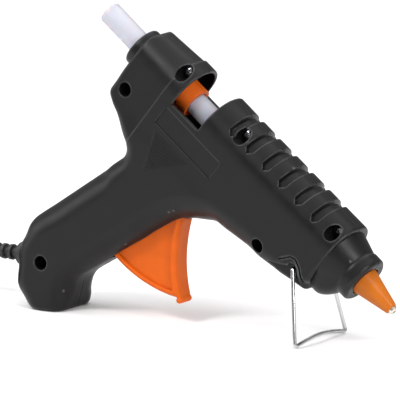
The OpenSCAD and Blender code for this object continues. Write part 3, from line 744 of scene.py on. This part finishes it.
# One screw is made, and its mesh is copied to all six places, each turned by its own angle
screw = contour("screw", screw_field, (-2.8, -7.6, -2.8), (2.8, 8, 2.8), 0.2,
                lambda p: p)
screw_points = np.array([v.co for v in screw.data.vertices])
screw_faces = np.array([f.vertices for f in screw.data.polygons])
bpy.data.objects.remove(screw)
copies = []
for ps, pt in SCREWS:
    px, pz = row(ps, pt)
    turn = math.radians(17 + 31 * len(copies))
    turned_x = screw_points[:, 0] * math.cos(turn) - screw_points[:, 2] * math.sin(turn)
    turned_z = screw_points[:, 0] * math.sin(turn) + screw_points[:, 2] * math.cos(turn)
    copies.append(np.stack([px + turned_x, screw_points[:, 1], pz + turned_z], 1) * MM)
all_faces = np.vstack([screw_faces + k * len(screw_points) for k in range(len(copies))])
finish_piece(solid("case_screws", np.vstack(copies), all_faces), "zinc_screw", "housing", "housing_screws")

# Fine ridges, parallel to the barrel, in a three-cornered patch on each side
RIDGES, RIDGE_TOP, RIDGE_PITCH = 16, -18.4, 1.27
PATCH_T, PATCH_LEFT, PATCH_RIGHT = (17.6, 38.2), (35.8, 43.0), (61.0, 44.4)
ridge_points, ridge_faces = [], []
for i in range(RIDGES):
    t0 = RIDGE_TOP - RIDGE_PITCH * i
    left = np.interp(-t0, PATCH_T, PATCH_LEFT)
    right = np.interp(-t0, PATCH_T, PATCH_RIGHT)
    along = np.linspace(left, right, max(4, int((right - left) / 0.8)))
    for sign in (-1, 1):
        start = sum(len(p) for p in ridge_points)
        strands = []
        for dt, lift in ((-0.3, -0.08), (-0.14, 0.2), (0.14, 0.2), (0.3, -0.08)):
            t = np.full(along.shape, t0 + dt)
            end = np.minimum(np.arange(len(along)), np.arange(len(along))[::-1]) > 0
            y = side_surface(along, t) + np.where(end, lift, -0.08)
            strands.append(np.stack([along, sign * y, t], 1))
        ridge_points.append(np.stack(strands, 1).reshape(-1, 3))
        for k in range(len(along) - 1):
            for m in range(3):
                quad = [start + 4 * k + m, start + 4 * k + m + 1, start + 4 * k + m + 5, start + 4 * k + m + 4]
                ridge_faces.append(quad if sign < 0 else quad[::-1])
ridges = solid("grip_ridges", barrel_to_row(np.vstack(ridge_points)), np.array(ridge_faces))
finish_piece(ridges, "moulded_black", "housing")

# ---------------------------------------------------------------- trigger
TRIGGER_R, TRIGGER_HALF = 67.4, 6.2
face_z = np.linspace(11, 50, 14)
face_x = -16.45 + 0.0077 * (face_z - 29.5) ** 2 * np.where(face_z > 29.5, 0.92, 0.95)
TRIGGER_FACE = [(float(a), float(b)) for a, b in zip(face_x[::-1], face_z[::-1])]
px, pz = TRIGGER_PIN
TRIGGER_SHAPE = ([(px - 4.4, pz + 4), (px - 5, pz - 10)] + TRIGGER_FACE
                 + [(-80, -10), (px - 52, pz - 47.7), (px - 6, pz + 2)])


def trigger_field(x, y, z):
    """Sector round the pin with a hollow face, its sides sunk inside a rim."""
    px, pz = TRIGGER_PIN
    reach = np.hypot(x - px, z - pz)
    shape = polygon_distance(TRIGGER_SHAPE, x, z)
    shape = smax(reach - TRIGGER_R, shape, 1.4)
    toe = np.hypot(x + 15.3, z - 11.4) - 1.6
    shape = smin(shape, toe, 1.0)
    ay = np.abs(y)
    body = rounded_slab(shape, ay, TRIGGER_HALF, 2.6)
    web = most(shape + 2.9, 22 - reach, 4.6 - ay)
    body = smax(body, -web, 0.9)
    body = smin(body, smax(reach - 5.4, ay - TRIGGER_HALF, 0.6), 1.0)
    return most(body, 1.56 - reach)


def row_mm(p):
    """From millimetres of the shared frame to metres."""
    return p * MM


trigger = contour("trigger_lever", trigger_field, (-70, -6.8, 6), (0.6, 6.8, 86.4),
                  0.45, row_mm)
finish_piece(trigger, "orange_plastic", "trigger", "trigger")

# ---------------------------------------------------------------- nozzle cover and glue stick
cover_profile = [(154.2, 5.2), (154.2, 7.2), (154.5, 7.5), (159.6, 7.42), (162.4, 7.3), (166, 6.45),
                 (172, 5.08), (178, 3.74), (180.4, 3.22), (181.1, 2.98), (181.5, 2.62), (181.5, 2.35),
                 (170, 3.55), (158, 4.8)]
finish_piece(lathe("nozzle_sleeve", cover_profile, barrel_to_row), "orange_silicone", "housing", "nozzle_cover")
STICK_OUT, STICK_LEN, STICK_R = 24.5, 100, 5.6
stick_profile = [(-STICK_OUT, 0), (-STICK_OUT, 4.6), (-STICK_OUT + 0.15, 5.2), (-STICK_OUT + 0.6, STICK_R)]
stick_profile += [(-STICK_OUT + k, STICK_R + 0.03 * math.sin(k * 0.37)) for k in range(2, STICK_LEN - 1, 3)]
STICK_END = STICK_LEN - STICK_OUT
stick_profile += [(STICK_END - 0.6, STICK_R), (STICK_END, 5.0), (STICK_END, 0)]
finish_piece(lathe("glue_rod", stick_profile, barrel_to_row), "clear_glue", "glue_stick", "glue_stick")

# ---------------------------------------------------------------- wire stand
WIRE_R, FOOT_X, STAND_SPREAD = 0.95, 62.6, 47
foot = np.array([FOOT_X, STAND_SPREAD / 2 - WIRE_R, WIRE_R])
hip = np.array([STAND_PIN[0], 15, STAND_PIN[1]])
down = (foot - hip) / np.linalg.norm(foot - hip)
half = [(STAND_PIN[0], 11.4, STAND_PIN[1]), (STAND_PIN[0], 14, STAND_PIN[1]),
        (STAND_PIN[0] + 0.1, 14.8, STAND_PIN[1] - 0.3), tuple(hip + (0, 0.1, 0) + 1.3 * down)]
half += [tuple(hip + (0, 0.1, 0) + k * (foot - hip)) for k in (0.25, 0.5, 0.75)]
half += [tuple(foot - 2.2 * down), tuple(foot + (0, -0.4, 0.5)), tuple(foot + (0, -1.7, 0.1))]
for k in range(1, 8):
    u = 1 - k / 8
    half.append((FOOT_X, (foot[1] - 1.6) * u, WIRE_R + 0.1 + 2.2 * math.sin(math.pi / 2 * (1 - u))))
bend = half + [(FOOT_X, 0, WIRE_R + 2.3)] + [(x, -y, z) for x, y, z in half[::-1]]
stand = wire("stand_wire", smooth_path(bend, 8), WIRE_R, 8)
finish_piece(stand, "plated_wire", "wire_stand", "wire_stand")


# ---------------------------------------------------------------- strain relief
RELIEF_LEN, RIB_PITCH = 32, 4.4


def relief_field(x, y, z):
    """Flange and neck in the shell's wall, collar behind it, and a sleeve with slots and rings."""
    d = RELIEF_X - x
    dz = z - RELIEF_Z
    r = np.hypot(y, dz)
    flange = turned(d, r, [(-4.6, 6), (-3.6, 6)])
    neck = turned(d, r, [(-4.6, 4.3), (1.2, 4.3)])
    dome = smax(smax(r - 5.9, d - 6.2, 2.4), 0.02 - d, 0.4)
    outer = 4.0 - 0.012 * d
    sleeve = smax(r - outer, most(-1 - d, d - RELIEF_LEN), 0.5)
    index = np.clip(np.round((d - 8.4) / RIB_PITCH), 0, 4)
    offset = np.abs(d - 8.4 - RIB_PITCH * index) - 1.15
    across = np.where(index % 2 == 0, np.abs(y), np.abs(dz))
    slot = most(offset, across - 3.0, 2.75 - r)
    ring = most(offset - 0.2, 3.1 - r)
    sleeve = smax(smax(sleeve, -slot, 0.2), -ring, 0.2)
    body = smin(least(flange, neck, dome), sleeve, 0.5)
    return most(body, CORD_R + 0.05 - r)


relief = contour("cord_relief", relief_field, (RELIEF_X - RELIEF_LEN - 0.8, -6.8, RELIEF_Z - 6.8),
                 (RELIEF_X + 5.4, 6.8, RELIEF_Z + 6.8), 0.28, row_mm)
finish_piece(relief, "cord_rubber", "housing", "strain_relief")

# ---------------------------------------------------------------- tie and plug
PLUG_AT = (HANK_FRONT_X - hank_run - TAIL_LEN, PLUG_Y, PLUG_Z)
PLUG_LEN, PLUG_HALF_W, PLUG_HALF_H, PIN_GAP = 35, 17.5, 6.8, 18.6
PLUG_SIDE = [(0, 4.2), (-4, 5.4), (-14, 13.4), (-17, 17), (-33.5, PLUG_HALF_W), (-PLUG_LEN, 16)]
PLUG_SHAPE = PLUG_SIDE + [(a, -b) for a, b in PLUG_SIDE[::-1]]


def plug_field(x, y, z):
    """Flat plug with ribbed grips, its cord hole and the two bores for its pins."""
    a = x - PLUG_AT[0]
    b = y - PLUG_AT[1]
    h = np.abs(z - PLUG_AT[2])
    shape = polygon_distance(PLUG_SHAPE, a, b)
    shape = smax(shape, -PLUG_LEN - a, 0.8)
    body = smax(rounded_slab(shape, h, PLUG_HALF_H, 3.2), -PLUG_LEN - a, 0.5)
    grips = most(np.abs(np.mod(a + 30, 2.6) - 1.3) - 0.55, -30.6 - a, a + 18, 16.7 - np.abs(b))
    body = smax(body, -grips, 0.3)
    throat = np.hypot(b, z - PLUG_AT[2])
    body = most(body, -most(throat - CORD_R - 0.02, -6 - a))
    for sign in (-1, 1):
        body = most(body, -most(np.hypot(b - sign * PIN_GAP / 2, z - PLUG_AT[2]) - 1.52, a + 25))
    return body


plug = contour("plug_shell", plug_field, (PLUG_AT[0] - 36, PLUG_AT[1] - 18.2, -0.6),
               (PLUG_AT[0] + 1, PLUG_AT[1] + 18.2, 14.4), 0.5, row_mm)
finish_piece(plug, "black_plastic", "housing", "plug_body")

TIE_X, TIE_HALF, TIE_THICK = HANK_FRONT_X - hank_run / 2, 2.5, 0.55
TIE_BOX = (-HANK_OUT_R - CORD_R - 0.95, -HANK_IN_R + CORD_R + 0.95, 0.02, LAYER_Z[0] + CORD_R + 0.88)


def tie_field(x, y, z):
    """Woven strap round one side of the hank."""
    mid_y, mid_z = (TIE_BOX[0] + TIE_BOX[1]) / 2, (TIE_BOX[2] + TIE_BOX[3]) / 2
    round_r = 2.2
    qy = np.abs(y - mid_y) - (TIE_BOX[1] - TIE_BOX[0]) / 2 + round_r
    qz = np.abs(z - mid_z) - (TIE_BOX[3] - TIE_BOX[2]) / 2 + round_r
    loop = np.hypot(np.maximum(qy, 0), np.maximum(qz, 0)) + np.minimum(np.maximum(qy, qz), 0) - round_r
    w = np.abs(x - TIE_X)
    strap = smax(smax(loop, -(loop + 2 * TIE_THICK), 0.2), w - TIE_HALF, 0.3)
    return strap + 0.05 * np.sin(w * 7) * np.sin(y * 5 + z * 5)


tie = contour("hank_strap", tie_field, (TIE_X - 3.2, TIE_BOX[0] - 0.6, -0.5),
              (TIE_X + 3.2, TIE_BOX[1] + 0.6, TIE_BOX[3] + 0.6), 0.35, row_mm)
finish_piece(tie, "black_plastic", "housing", "coil_tie")

# ---------------------------------------------------------------- stage
floor_mesh = bpy.data.meshes.new("floor")
floor_mesh.from_pydata([(-4, -4, 0), (4, -4, 0), (4, 4, 0), (-4, 4, 0)], [], [(0, 1, 2, 3)])
floor_obj = link_object("floor", floor_mesh)
floor_obj.location.z = -0.0002
floor_obj.data.materials.append(shader("floor_white", (0.93, 0.93, 0.93), 0.7, vary=0.0))
